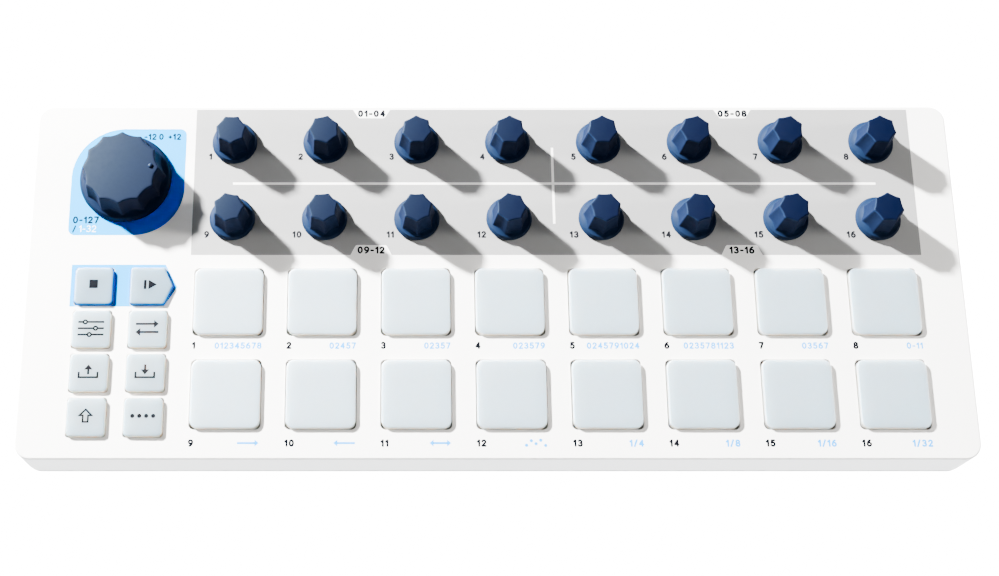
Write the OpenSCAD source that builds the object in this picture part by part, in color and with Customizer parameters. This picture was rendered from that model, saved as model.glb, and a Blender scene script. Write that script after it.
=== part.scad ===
// Desktop step sequencer: a low white case with sixteen rotary encoders,
// one large dial, sixteen square pads and eight small push buttons.
// Millimetres, +Z up, +Y to the rear, origin under the middle of the case
// at the level of the feet.

/* [Case] */
// Width of the case, left to right
case_w = 305; // [304:0.5:312]
// Depth of the case, front to rear
case_d = 120; // [119:0.5:124]
// Height of the moulded shell, from its lower rim to the deck
shell_h = 17; // [16.8:0.1:20]
// Thickness of the shell's side walls
wall = 2.5; // [2:0.1:2.6]
// Thickness of the deck, the shell's top plate
deck_t = 2.5; // [2.2:0.1:2.6]
// Radius of the case corners in plan
corner_r = 5.2; // [4.6:0.1:6]
// How far the walls lean out from the deck to the lower rim
draft = 0.85; // [0.5:0.05:1.2]
// Height of the rubber feet
foot_h = 2; // [1.6:0.1:3]
// Thickness of the steel base plate
base_t = 1.2; // [1:0.1:1.5]

/* [Grid] */
// X of the first column of steps
col_x0 = -86.2; // [-87:0.1:-86]
// Distance from column to column
pitch = 30.36; // [30:0.01:30.4]
// How far the knobs stand to the right of their columns
knob_dx = 0.2; // [-0.3:0.05:0.3]
// How far the pads lie to the right of their columns
pad_dx = -0.15; // [-0.3:0.05:0.3]
// Y of the rear row of knobs
knob_y_rear = 46.6; // [45:0.1:47]
// Y of the front row of knobs
knob_y_front = 19.7; // [18.6:0.1:20]
// Y of the rear row of pads
pad_y_rear = -8.55; // [-9.5:0.05:-8.5]
// Y of the front row of pads
pad_y_front = -39.15; // [-40:0.05:-39]

/* [Knobs] */
// Height of the small knobs above the deck
knob_h = 12.5; // [10:0.5:14]
// Height of the large dial above the deck
dial_h = 11.5; // [10:0.5:14]
// Radius of the round skirt of a small knob
skirt_r = 7.5; // [7:0.1:8]
// Number of concave sides on a small knob
knob_sides = 7; // [6:1:9]
// Radius of the round skirt of the large dial
dial_skirt_r = 15.2; // [14.5:0.1:16]
// Number of scallops around the large dial
dial_sides = 12; // [11:1:14]
// X of the large dial
dial_x = -121.8; // [-122.5:0.1:-121]
// Y of the large dial
dial_y = 33.8; // [33:0.1:35]
// Radius of the encoder shafts
shaft_r = 3; // [2.8:0.1:3.1]

/* [Pads and buttons] */
// Width of a square pad
pad_w = 22.2; // [21.6:0.1:22.6]
// Radius of the pad corners
pad_r = 2.6; // [2:0.1:3]
// Height of a pad above the deck
pad_proud = 1.3; // [1.2:0.1:2]
// How far a pad travels down
pad_travel = 1; // [0.6:0.1:1]
// Width of a square button
btn_w = 12.4; // [12:0.1:12.5]
// Height of a button above the deck
btn_proud = 1.3; // [1.2:0.1:2]
// How far a button travels down
btn_travel = 0.8; // [0.5:0.1:0.8]
// Gap around the buttons in the deck
slot_gap = 0.2; // [0.15:0.05:0.25]
// Gap around the pads in the deck
pad_gap = 0.3; // [0.2:0.05:0.4]
// Radius of the corners of the pad openings, smaller than the pads' own
pad_slot_r = 1.7; // [1.2:0.1:2.2]
// Radius of the corners of the button openings
btn_slot_r = 1.1; // [0.8:0.1:1.7]

/* [Hidden] */
$fn = 64;

// Levels, from the feet upwards
base_z = foot_h;
base_top = base_z + base_t;
rim_z = foot_h - 0.5;
deck_z = rim_z + shell_h;
deck_under = deck_z - deck_t;
enc_h = 6.5;
enc_top = deck_under - 1.5;
board_top = enc_top - enc_h;
board_t = 1.6;
board_low = board_top - board_t;
flange_gap = 0.3;
pad_flange_t = 2;
pad_low = deck_under - flange_gap - pad_flange_t;
sheet_t = 0.3;
sheet_top = pad_low - pad_travel - 0.2;
frame_top = sheet_top - sheet_t;
btn_flange_t = 1.6;
btn_low = deck_under - flange_gap - btn_flange_t;
switch_h = 3.4;
stem_low = board_top + switch_h + btn_travel + 0.15;

// Plan positions
function col_x(c) = col_x0 + c * pitch;
function knob_x(c) = col_x(c) + knob_dx;
function pad_x(c) = col_x(c) + pad_dx;
function knob_y(r) = r == 0 ? knob_y_rear : knob_y_front;
function pad_y(r) = r == 0 ? pad_y_rear : pad_y_front;
mid = pitch / 2;
btn_xl = -130.2;
btn_xr = -112.1;
btn_y = [-3.4, -17.9, -32.3, -46.7];
// Square buttons: the stop button, then the six mode buttons
btn_at = [[btn_xl, btn_y[0]], [btn_xl, btn_y[1]], [btn_xr, btn_y[1]],
          [btn_xl, btn_y[2]], [btn_xr, btn_y[2]], [btn_xl, btn_y[3]], [btn_xr, btn_y[3]]];
play_x0 = -118.4;
play_x1 = -107.3;
play_x2 = -104.6;
play_at = [btn_xr, btn_y[0]];
base_boss = [[-145, -52.3], [145, -52.3], [-145, 52.3], [145, 52.3],
             [col_x0 + mid, 8.3], [col_x0 + 5.5 * pitch, 8.3]];
board_boss = [[-144.5, -24.3], [145, -24.3], [-101.5, 8.3], [col_x0 + 1.5 * pitch, 8.3],
              [col_x0 + 3.5 * pitch, 8.3], [145, 8.3], [-103.5, 50],
              [col_x0 + 3.5 * pitch, 50], [col_x0 + 6.5 * pitch, 50]];
usb_x = col_x0 + 1.5 * pitch;
jack_x = [col_x0 + 2.5 * pitch, col_x0 + 4.5 * pitch, col_x0 + 5.5 * pitch];
lock_x = col_x0 + 0.5 * pitch;
jack_z = board_top + 3.5;
lock_z = board_top + 2.5;
// How far each small knob has been turned, degrees from one edge to the rear
turn = [25.7, -13, 3, 0, 0, -12, -14, 0, 15, -21, -24, 13, -24, 18, -16, 0];

navy = [0.12, 0.15, 0.27];
white = [0.95, 0.95, 0.95];
frost = [0.87, 0.91, 0.93];
steel = [0.72, 0.73, 0.75];

// Rectangle with round corners
module rr(w, d, r) {
    square([w - 2 * r, d], center = true);
    square([w, d - 2 * r], center = true);
    for (x = [-1, 1], y = [-1, 1])
        translate([x * (w / 2 - r), y * (d / 2 - r)]) circle(r = r);
}

module slab(w, d, r, z0, z1) {
    translate([0, 0, z0]) linear_extrude(z1 - z0) rr(w, d, r);
}

// Block with round corners whose walls lean out by g towards the bottom
module leaning(w, d, r, z0, z1, g) {
    for (x = [-1, 1], y = [-1, 1])
        translate([x * (w / 2 - r), y * (d / 2 - r), z0]) cylinder(r1 = r + g, r2 = r, h = z1 - z0);
    translate([-(w / 2 - r), 0, 0]) rotate([90, 0, 90]) linear_extrude(w - 2 * r)
        polygon([[-d / 2 - g, z0], [d / 2 + g, z0], [d / 2, z1], [-d / 2, z1]]);
    translate([0, d / 2 - r, 0]) rotate([90, 0, 0]) linear_extrude(d - 2 * r)
        polygon([[-w / 2 - g, z0], [w / 2 + g, z0], [w / 2, z1], [-w / 2, z1]]);
}

// Five-sided arrow outline of the play button, grown by g
module arrow(g) {
    hw = btn_w / 2 + g;
    polygon([[play_x0 - g, -hw], [play_x1 + 0.5 * g, -hw], [play_x2 + 1.2 * g, 0],
             [play_x1 + 0.5 * g, hw], [play_x0 - g, hw]]);
}

// ---- case ----
module top_shell() color(white) {
    difference() {
        union() {
            difference() {
                leaning(case_w, case_d, corner_r, rim_z, deck_z, draft);
                slab(case_w - 2 * wall, case_d - 2 * wall, corner_r - wall, rim_z - 1, deck_under);
            }
            for (p = base_boss)
                translate([p[0], p[1], base_top]) cylinder(r = 4, h = deck_under + 0.5 - base_top);
            for (p = board_boss)
                translate([p[0], p[1], board_top]) cylinder(r = 3.2, h = deck_under + 0.5 - board_top);
        }
        // screw pilot holes
        for (p = base_boss)
            translate([p[0], p[1], base_top - 1]) cylinder(r = 1.53, h = 10);
        for (p = board_boss)
            translate([p[0], p[1], board_top - 1]) cylinder(r = 1.53, h = 7.6);
        // encoder bushes
        for (c = [0:7], r = [0, 1])
            translate([knob_x(c), knob_y(r), deck_under - 1]) cylinder(r = 3.9, h = deck_t + 2);
        translate([dial_x, dial_y, deck_under - 1]) cylinder(r = 3.9, h = deck_t + 2);
        // pads
        for (c = [0:7], r = [0, 1])
            translate([pad_x(c), pad_y(r), 0])
                slab(pad_w + 2 * pad_gap, pad_w + 2 * pad_gap, pad_slot_r, deck_under - 1, deck_z + 1);
        // buttons
        for (p = btn_at)
            translate([p[0], p[1], 0])
                slab(btn_w + 2 * slot_gap, btn_w + 2 * slot_gap, btn_slot_r, deck_under - 1, deck_z + 1);
        translate([0, btn_y[0], deck_under - 1]) linear_extrude(deck_t + 2) arrow(slot_gap);
        // rear sockets and lock slot
        translate([usb_x - 4.6, case_d / 2 - wall - 1, board_top - 0.4]) cube([9.2, wall + 2, 4.9]);
        for (x = jack_x)
            translate([x, case_d / 2 - wall - 1, jack_z]) rotate([-90, 0, 0]) cylinder(r = 3.2, h = wall + 2);
        translate([lock_x - 3.6, case_d / 2 - wall - 1, lock_z - 1.6]) cube([7.2, wall + 2, 3.2]);
    }
}

module base_plate() color(steel)
    difference() {
        slab(case_w - 2 * wall - 0.8, case_d - 2 * wall - 0.8, corner_r - wall - 0.4, base_z, base_top);
        for (p = base_boss)
            translate([p[0], p[1], base_z - 1]) cylinder(r = 1.7, h = base_t + 2);
    }

// ---- electronics ----
module main_board() color([0.10, 0.36, 0.22])
    difference() {
        slab(case_w - 11, case_d - 10, 3, board_low, board_top);
        for (p = base_boss)
            translate([p[0], p[1], board_low - 1]) cylinder(r = 4.6, h = board_t + 2);
        for (p = board_boss)
            translate([p[0], p[1], board_low - 1]) cylinder(r = 1.7, h = board_t + 2);
    }

// Encoder housing with a round chamber for the rotor
module encoder_case(w, d)
    difference() {
        translate([-w / 2, -d / 2, board_top]) cube([w, d, enc_h]);
        translate([0, 0, board_top + 1.6]) cylinder(r = 4.8, h = 3);
        translate([0, 0, board_top + 1.6]) cylinder(r = shaft_r + 0.3, h = enc_h);
    }

module step_encoders() color([0.16, 0.16, 0.17])
    for (c = [0:7], r = [0, 1]) translate([knob_x(c), knob_y(r), 0]) encoder_case(12, 13);

module dial_encoder() color([0.16, 0.16, 0.17])
    translate([dial_x, dial_y, 0]) encoder_case(14, 14.5);

module bush()
    difference() {
        translate([0, 0, enc_top]) cylinder(r = 3.55, h = deck_z - 0.5 - enc_top);
        translate([0, 0, enc_top - 1]) cylinder(r = shaft_r + 0.04, h = deck_z - enc_top + 2);
    }

module encoder_bushes() color([0.80, 0.68, 0.38]) {
    for (c = [0:7], r = [0, 1]) translate([knob_x(c), knob_y(r), 0]) bush();
    translate([dial_x, dial_y, 0]) bush();
}

module light_frame() color([0.13, 0.13, 0.14])
    difference() {
        translate([pad_x(3.5), (pad_y_rear + pad_y_front) / 2, 0])
            slab(7 * pitch + 27, pad_y_rear - pad_y_front + 25.4, 2, board_top, frame_top);
        for (c = [0:7], r = [0, 1])
            translate([pad_x(c) - 9, pad_y(r) - 9, board_top - 1]) cube([18, 18, frame_top - board_top + 2]);
    }

module pad_sensor_sheet() color([0.85, 0.62, 0.25])
    difference() {
        translate([pad_x(3.5), (pad_y_rear + pad_y_front) / 2, 0])
            slab(7 * pitch + 26.4, pad_y_rear - pad_y_front + 25, 2, frame_top, sheet_top);
        for (c = [0:7], r = [0, 1])
            translate([pad_x(c) - 8.6, pad_y(r) - 8.6, frame_top - 1]) cube([17.2, 17.2, sheet_t + 2]);
    }

module pad_leds() color([0.96, 0.95, 0.85])
    for (c = [0:7], r = [0, 1])
        translate([pad_x(c) - 1.75, pad_y(r) - 1.4, board_top]) cube([3.5, 2.8, 1.9]);

module button_switches() color([0.2, 0.2, 0.21]) {
    for (p = btn_at) translate([p[0] - 3, p[1] - 3, board_top]) cube([6, 6, switch_h]);
    translate([play_at[0] - 3, play_at[1] - 3, board_top]) cube([6, 6, switch_h]);
}

module button_leds() color([0.96, 0.95, 0.85]) {
    for (p = btn_at) translate([p[0] - 1, p[1] + 4, board_top]) cube([2, 1.25, 0.8]);
    translate([play_at[0] - 1, play_at[1] + 4, board_top]) cube([2, 1.25, 0.8]);
}

// Processor, shift registers and output drivers under the board
module board_chips() color([0.09, 0.09, 0.10]) {
    translate([-7, -30, board_low - 1.4]) cube([14, 14, 1.4]);
    for (x = [-90, -60, 40, 70, 100]) translate([x, 24, board_low - 1.7]) cube([10, 6, 1.7]);
    for (x = [-88, 60]) translate([x, -40, board_low - 1.7]) cube([10, 6, 1.7]);
    for (x = [-20, 0, 52]) translate([x, 40, board_low - 1.5]) cube([5, 4, 1.5]);
    translate([-32, 48, board_low - 2.4]) cylinder(r = 3, h = 2.4);
    translate([-50, 44, board_low - 2.4]) cylinder(r = 3, h = 2.4);
}

// ---- fasteners and feet ----
module pan_screw(head_r, head_h, len, z)
    difference() {
        union() {
            translate([0, 0, z - head_h]) cylinder(r = head_r, h = head_h);
            translate([0, 0, z - 0.2]) cylinder(r = 1.5, h = len + 0.2);
        }
        translate([0, 0, z - head_h - 1]) cylinder(r = 1.15, h = 1.7, $fn = 6);
    }

module board_screws() color([0.78, 0.78, 0.80])
    for (p = board_boss) translate([p[0], p[1], 0]) pan_screw(2.75, 1.8, 7.4, board_low);

module base_screws() color([0.20, 0.20, 0.21])
    for (p = base_boss) translate([p[0], p[1], 0]) pan_screw(2.8, 1.2, 8.5, base_z);

module rubber_feet() color([0.12, 0.12, 0.12])
    for (x = [-130, 130], y = [-43, 43]) translate([x, y, 0])
        rotate_extrude($fn = 64) polygon([[0, 0], [5.5, 0], [6, 0.5], [6, foot_h], [0, foot_h]]);

// ---- rear sockets ----
module usb_socket() color(steel)
    translate([usb_x, case_d / 2 - 0.6, board_top])
        difference() {
            translate([-3.85, -9.2, 0]) cube([7.7, 9.2, 3.9]);
            translate([-3.4, -7.5, 0.45]) cube([6.8, 8, 3.0]);
        }

module jack() {
    difference() {
        union() {
            translate([-4, case_d / 2 - 14.6, board_top]) cube([8, 11.8, 7]);
            translate([0, case_d / 2 - 3.2, jack_z]) rotate([-90, 0, 0]) cylinder(r = 2.9, h = 2.9);
        }
        translate([0, case_d / 2 - 13.3, jack_z]) rotate([-90, 0, 0]) cylinder(r = 1.8, h = 15);
    }
}

module jack_sockets() color([0.10, 0.10, 0.11])
    for (x = jack_x) translate([x, 0, 0]) jack();

module lock_plate() color(steel)
    difference() {
        translate([lock_x - 7.5, case_d / 2 - wall - 1.2, lock_z - 4.2]) cube([15, 1.2, 8.6]);
        translate([lock_x - 3.5, case_d / 2 - wall - 2, lock_z - 1.5]) cube([7, 3, 3]);
    }

// ---- knobs ----
// Encoder shaft with its rotor disc below and a flat for the knob above
module shaft() {
    translate([0, 0, board_top + 1.8]) cylinder(r = 4.5, h = 2.6);
    difference() {
        translate([0, 0, board_top + 1.8]) cylinder(r = shaft_r, h = deck_z + 8 - board_top - 1.8);
        translate([shaft_r / 2, -5, deck_z + 1.9]) cube([5, 10, 10]);
    }
}

module shaft_socket()
    difference() {
        translate([0, 0, deck_z - 1]) cylinder(r = shaft_r + 0.03, h = 9.3);
        translate([shaft_r / 2 + 0.03, -5, deck_z + 2]) cube([5, 10, 10]);
    }

// Tapered grip with n concave sides, one edge towards the rear
module grip(n, r1, r2, side, flute_r, lean, h) {
    z0 = deck_z + 1.4;
    difference() {
        translate([0, 0, z0]) cylinder(r1 = r1, r2 = r2, h = deck_z + h - z0, $fn = 96);
        for (k = [0 : n - 1])
            rotate([0, 0, 90 - 180 / n + k * 360 / n])
                translate([side + flute_r, 0, z0]) rotate([0, -lean, 0])
                    cylinder(r = flute_r, h = 60, center = true);
    }
}

module knob_cap()
    difference() {
        union() {
            translate([0, 0, deck_z]) rotate_extrude($fn = 96)
                polygon([[0, 0.6], [skirt_r - 0.3, 0.6], [skirt_r, 0.9], [skirt_r, 1.9],
                         [skirt_r - 0.3, 2.2], [skirt_r - 1.7, 3.1], [0, 3.1]]);
            grip(knob_sides, 6.35, 5.1, 5.45, 16, 4.9, knob_h);
        }
        shaft_socket();
    }

module dial_cap()
    difference() {
        union() {
            translate([0, 0, deck_z]) rotate_extrude($fn = 128)
                polygon([[0, 0.6], [dial_skirt_r - 0.4, 0.6], [dial_skirt_r, 1.0], [dial_skirt_r, 2.0],
                         [dial_skirt_r - 0.4, 2.4], [dial_skirt_r - 2.2, 3.3], [0, 3.3]]);
            grip(dial_sides, 14.0, 12.1, 12.9, 8, 11.2, dial_h);
            // raised pointer dot
            translate([9.85, 0.5, deck_z + dial_h - 0.45]) sphere(r = 1);
        }
        shaft_socket();
    }

module step_knob(i) color(navy)
    translate([knob_x(i % 8), knob_y(floor(i / 8)), 0]) rotate([0, 0, turn[i]]) {
        knob_cap();
        shaft();
    }

module main_dial() color(navy)
    translate([dial_x, dial_y, 0]) {
        dial_cap();
        shaft();
    }

// ---- pads and buttons ----
module step_pad(i) color(frost)
    translate([pad_x(i % 8), pad_y(floor(i / 8)), 0])
        difference() {
            union() {
                slab(pad_w + 3, pad_w + 3, 2.5, pad_low, pad_low + pad_flange_t);
                slab(pad_w, pad_w, pad_r, pad_low + 0.5, deck_z + pad_proud);
            }
            translate([-9.7, -9.7, pad_low - 1]) cube([19.4, 19.4, deck_z - pad_low]);
        }

module square_button(k) color(frost)
    translate([btn_at[k][0], btn_at[k][1], 0]) {
        slab(btn_w + 1.2, btn_w + 1.2, 1.8, btn_low, btn_low + btn_flange_t);
        slab(btn_w, btn_w, 1.6, btn_low + 0.5, deck_z + btn_proud);
        translate([0, 0, stem_low]) cylinder(r = 1.75, h = btn_low + 0.5 - stem_low);
    }

module play_button() color(frost)
    translate([0, btn_y[0], 0]) {
        translate([0, 0, btn_low]) linear_extrude(btn_flange_t) arrow(0.6);
        translate([0, 0, btn_low + 0.5]) linear_extrude(deck_z + btn_proud - btn_low - 0.5) arrow(0);
        translate([play_at[0], 0, stem_low]) cylinder(r = 1.75, h = btn_low + 0.5 - stem_low);
    }

top_shell();
base_plate();
main_board();
step_encoders();
dial_encoder();
encoder_bushes();
light_frame();
pad_sensor_sheet();
pad_leds();
button_switches();
button_leds();
board_chips();
board_screws();
base_screws();
rubber_feet();
usb_socket();
jack_sockets();
lock_plate();
step_knob(0);  // knob_01
step_knob(1);  // knob_02
step_knob(2);  // knob_03
step_knob(3);  // knob_04
step_knob(4);  // knob_05
step_knob(5);  // knob_06
step_knob(6);  // knob_07
step_knob(7);  // knob_08
step_knob(8);  // knob_09
step_knob(9);  // knob_10
step_knob(10);  // knob_11
step_knob(11);  // knob_12
step_knob(12);  // knob_13
step_knob(13);  // knob_14
step_knob(14);  // knob_15
step_knob(15);  // knob_16
main_dial();
step_pad(0);  // pad_01
step_pad(1);  // pad_02
step_pad(2);  // pad_03
step_pad(3);  // pad_04
step_pad(4);  // pad_05
step_pad(5);  // pad_06
step_pad(6);  // pad_07
step_pad(7);  // pad_08
step_pad(8);  // pad_09
step_pad(9);  // pad_10
step_pad(10);  // pad_11
step_pad(11);  // pad_12
step_pad(12);  // pad_13
step_pad(13);  // pad_14
step_pad(14);  // pad_15
step_pad(15);  // pad_16
square_button(0);  // stop_button
play_button();
square_button(1);  // mode_button_1
square_button(2);  // mode_button_2
square_button(3);  // mode_button_3
square_button(4);  // mode_button_4
square_button(5);  // mode_button_5
square_button(6);  // mode_button_6
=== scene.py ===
"""Looks of the step sequencer: detailed pieces, materials, floor, light and camera."""
import math

import bmesh
import bpy
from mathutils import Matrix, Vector


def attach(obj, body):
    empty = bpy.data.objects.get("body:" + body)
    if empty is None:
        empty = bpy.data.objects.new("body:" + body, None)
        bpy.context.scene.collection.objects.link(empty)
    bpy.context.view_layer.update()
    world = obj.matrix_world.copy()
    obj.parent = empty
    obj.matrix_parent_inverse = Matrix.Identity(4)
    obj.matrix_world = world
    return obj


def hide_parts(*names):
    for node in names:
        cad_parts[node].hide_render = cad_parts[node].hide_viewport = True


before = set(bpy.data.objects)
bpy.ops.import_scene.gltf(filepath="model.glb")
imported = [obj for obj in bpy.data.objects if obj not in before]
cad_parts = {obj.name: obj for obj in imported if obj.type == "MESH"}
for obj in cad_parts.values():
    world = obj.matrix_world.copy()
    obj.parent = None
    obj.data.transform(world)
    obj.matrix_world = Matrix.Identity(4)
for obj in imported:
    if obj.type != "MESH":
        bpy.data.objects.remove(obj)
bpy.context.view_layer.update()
MM = 0.001

# ---------------------------------------------------------------- dimensions, mm
CASE_W, CASE_D, CORNER, DRAFT = 305.0, 120.0, 5.2, 0.85
RIM_Z, DECK_T, WALL = 1.5, 2.5, 2.5
SHELL_H = 17.0
DZ = RIM_Z + SHELL_H                   # deck level
DU = DZ - DECK_T                       # underside of the deck
BOARD_TOP = DU - 8.0
COL0, PITCH = -86.2, 30.36
KNOB_Y = (46.6, 19.7)
PAD_Y = (-8.55, -39.15)
DIAL = (-121.8, 33.8)
KNOB_H, DIAL_H = 12.5, 11.5
TURN = [25.7, -13, 3, 0, 0, -12, -14, 0, 15, -21, -24, 13, -24, 18, -16, 0]
PAD_W, PAD_R, PAD_UP, PAD_LOW = 22.2, 2.6, 1.3, DU - 2.3
BTN_W, BTN_UP, BTN_LOW = 12.4, 1.3, DU - 1.9
GAP, PAD_GAP, PAD_SLOT_R, BTN_SLOT_R = 0.2, 0.3, 1.7, 1.1
BXL, BXR = -130.2, -112.1
BTN_Y = (-3.4, -17.9, -32.3, -46.7)
BTN_AT = [(BXL, BTN_Y[0]), (BXL, BTN_Y[1]), (BXR, BTN_Y[1]), (BXL, BTN_Y[2]),
          (BXR, BTN_Y[2]), (BXL, BTN_Y[3]), (BXR, BTN_Y[3])]
BTN_NAME = ["stop_button", "mode_button_1", "mode_button_2", "mode_button_3",
            "mode_button_4", "mode_button_5", "mode_button_6"]
PLAY_X = (-118.4, -107.3, -104.6)
BASE_BOSS = [(-145, -52.3), (145, -52.3), (-145, 52.3), (145, 52.3),
             (COL0 + 0.5 * PITCH, 8.3), (COL0 + 5.5 * PITCH, 8.3)]
BOARD_BOSS = [(-144.5, -24.3), (145, -24.3), (-101.5, 8.3), (COL0 + 1.5 * PITCH, 8.3),
              (COL0 + 3.5 * PITCH, 8.3), (145, 8.3), (-103.5, 50),
              (COL0 + 3.5 * PITCH, 50), (COL0 + 6.5 * PITCH, 50)]
USB_X, LOCK_X = COL0 + 1.5 * PITCH, COL0 + 0.5 * PITCH
JACK_X = [COL0 + 2.5 * PITCH, COL0 + 4.5 * PITCH, COL0 + 5.5 * PITCH]
JACK_Z, LOCK_Z = BOARD_TOP + 3.5, BOARD_TOP + 2.5


def col_x(c):
    return COL0 + c * PITCH


def knob_x(c):
    return col_x(c) + 0.2


def pad_x(c):
    return col_x(c) - 0.15


# ---------------------------------------------------------------- materials
def start(name):
    m = bpy.data.materials.new(name)
    m.use_nodes = True
    nt = m.node_tree
    nt.nodes.clear()
    out = nt.nodes.new("ShaderNodeOutputMaterial")
    b = nt.nodes.new("ShaderNodeBsdfPrincipled")
    nt.links.new(b.outputs["BSDF"], out.inputs["Surface"])
    tc = nt.nodes.new("ShaderNodeTexCoord")
    return m, nt, b, tc.outputs["Object"]


def noise(nt, co, scale, detail=3.0, rough=0.55):
    n = nt.nodes.new("ShaderNodeTexNoise")
    n.inputs["Scale"].default_value = scale
    n.inputs["Detail"].default_value = detail
    n.inputs["Roughness"].default_value = rough
    nt.links.new(co, n.inputs["Vector"])
    return n.outputs["Fac"]


def remap(nt, fac, a, b, c, d):
    r = nt.nodes.new("ShaderNodeMapRange")
    r.clamp = True
    for k, v in zip(("From Min", "From Max", "To Min", "To Max"), (a, b, c, d)):
        r.inputs[k].default_value = v
    nt.links.new(fac, r.inputs["Value"])
    return r.outputs["Result"]


def mix(nt, fac, a, b):
    x = nt.nodes.new("ShaderNodeMix")
    x.data_type = "RGBA"
    nt.links.new(fac, x.inputs[0])
    for sock, v in ((x.inputs[6], a), (x.inputs[7], b)):
        if isinstance(v, tuple):
            sock.default_value = (*v, 1.0)
        else:
            nt.links.new(v, sock)
    return x.outputs[2]


def times(rgb, k):
    return tuple(max(0.0, c * k) for c in rgb)


def moulded(name, rgb, rough=0.45, swing=0.06, tint=0.03, cloud=40.0, grain=2400.0,
            bump=0.15, depth=2e-5, speck=0.0, speck_rgb=(1, 1, 1), spec=0.5, metallic=0.0,
            coat=0.0, coat_rough=0.2, sss=0.0, sss_scale=0.001, sss_radius=(1, 1, 1),
            brushed=None, tone=(1, 1, 1), ior=1.5):
    """Moulded, painted or printed surface: cloudy tint, fine specks, grain in gloss and relief."""
    m, nt, b, co = start(name)
    base = mix(nt, remap(nt, noise(nt, co, cloud, 4.0, 0.6), 0.3, 0.7, 0, 1),
               times(rgb, 1 - tint), times(rgb, 1 + tint))
    if speck:
        dots = remap(nt, noise(nt, co, grain * 0.55, 2.0, 0.5), 0.60, 0.72, 0.0, speck)
        base = mix(nt, dots, base, speck_rgb)
    nt.links.new(base, b.inputs["Base Color"])
    gco = co
    if brushed:
        mp = nt.nodes.new("ShaderNodeMapping")
        mp.inputs["Scale"].default_value = brushed
        nt.links.new(co, mp.inputs["Vector"])
        gco = mp.outputs["Vector"]
    fine = noise(nt, gco, grain, 3.0, 0.6)
    mid = noise(nt, gco, grain * 0.23, 2.0, 0.5)
    nt.links.new(remap(nt, mid, 0.3, 0.7, max(0.02, rough - swing), min(1.0, rough + swing)),
                 b.inputs["Roughness"])
    bp = nt.nodes.new("ShaderNodeBump")
    bp.inputs["Strength"].default_value = bump
    bp.inputs["Distance"].default_value = depth
    nt.links.new(fine, bp.inputs["Height"])
    nt.links.new(bp.outputs["Normal"], b.inputs["Normal"])
    b.inputs["Metallic"].default_value = metallic
    b.inputs["IOR"].default_value = ior
    b.inputs["Specular IOR Level"].default_value = spec
    b.inputs["Specular Tint"].default_value = (*tone, 1.0)
    b.inputs["Coat Weight"].default_value = coat
    b.inputs["Coat Roughness"].default_value = coat_rough
    b.inputs["Subsurface Weight"].default_value = sss
    b.inputs["Subsurface Scale"].default_value = sss_scale
    b.inputs["Subsurface Radius"].default_value = sss_radius
    return m


WHITE = moulded("shell_white_abs", (0.84, 0.84, 0.835), 0.46, 0.06, 0.012, 22.0, 2300.0,
                0.16, 2.5e-5, 0.05, (0.80, 0.80, 0.79))
GREY = moulded("panel_grey_ink", (0.262, 0.265, 0.270), 0.50, 0.06, 0.025, 30.0, 2300.0,
               0.16, 2.5e-5, 0.06, (0.30, 0.30, 0.30))
AZURE = moulded("print_azure_ink", (0.0008, 0.335, 0.72), 0.50, 0.06, 0.02, 40.0, 2300.0,
                0.16, 2.5e-5, 0.05, (0.0010, 0.295, 0.73), spec=0.05)
SLATE = moulded("print_slate_ink", (0.0045, 0.0055, 0.0085), 0.72, 0.06, 0.10, 300.0, 2600.0, 0.12, spec=0.06)
MARK = moulded("button_mark_ink", (0.0095, 0.0105, 0.0135), 0.70, 0.06, 0.10, 300.0, 2600.0, 0.12, spec=0.08)
SKY = moulded("print_sky_ink", (0.004, 0.28, 0.75), 0.5, 0.06, 0.03, 300.0, 2600.0, 0.12, spec=0.05)
PALE = moulded("print_white_ink", (0.80, 0.81, 0.82), 0.5, 0.06, 0.02, 300.0, 2600.0, 0.12)
NAVY = moulded("knob_navy_soft_plastic", (0.0003, 0.0014, 0.0172), 0.60, 0.04, 0.06, 240.0, 3200.0,
               0.16, 2e-5, 0.20, (0.0006, 0.0014, 0.0158), spec=0.245, tone=(0.63, 0.92, 1.0))
GRIP = moulded("knob_navy_grip", (0.0078, 0.0150, 0.0400), 0.70, 0.04, 0.06, 240.0, 3200.0,
               0.22, 2e-5, 0.20, (0.0108, 0.0196, 0.0490), spec=0.050)
DIAL_GRIP = moulded("dial_navy_grip", (0.0120, 0.0155, 0.0330), 0.70, 0.04, 0.06, 240.0, 3200.0,
                    0.22, 2e-5, 0.20, (0.0132, 0.0172, 0.0370), spec=0.045)
DIAL_SKIRT = moulded("dial_navy_skirt", (0.0062, 0.0145, 0.0370), 0.62, 0.04, 0.06, 240.0, 3200.0,
                     0.20, 2e-5, 0.20, (0.0072, 0.0168, 0.0420), spec=0.08)
# Painted sheen: a lighter copy of the knob navy on the skirt, the faces turned upward and the top's rounded edge,
# standing in for the light and sheen they catch.
SKIRT_SHEEN_PAINT = moulded("knob_navy_skirt", (0.0090, 0.0205, 0.0505), 0.62, 0.04, 0.06, 240.0, 3200.0,
                0.20, 2e-5, 0.20, (0.0100, 0.0230, 0.0560), spec=0.08)
FROST = moulded("pad_frosted_silicone", (0.250, 0.340, 0.411), 0.66, 0.05, 0.015, 60.0, 2600.0,
                0.10, 2e-5, 0.06, (0.285, 0.365, 0.425), spec=1.0, sss=1.0, sss_scale=0.0200,
                sss_radius=(1.7, 1.0, 0.75), ior=1.85)
BUTTON = moulded("button_frosted_plastic", (0.246, 0.306, 0.354), 0.55, 0.05, 0.015, 80.0, 2600.0,
                 0.10, 2e-5, 0.06, (0.262, 0.324, 0.372), spec=0.8, sss=1.0, sss_scale=0.0200,
                 sss_radius=(1.7, 1.0, 0.75))
TRANSPORT = moulded("transport_frosted_plastic", (0.122, 0.196, 0.258), 0.55, 0.05, 0.015, 80.0, 2600.0,
                    0.10, 2e-5, 0.06, (0.132, 0.208, 0.270), spec=0.8, sss=1.0, sss_scale=0.0200,
                    sss_radius=(1.7, 1.0, 0.75))
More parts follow.
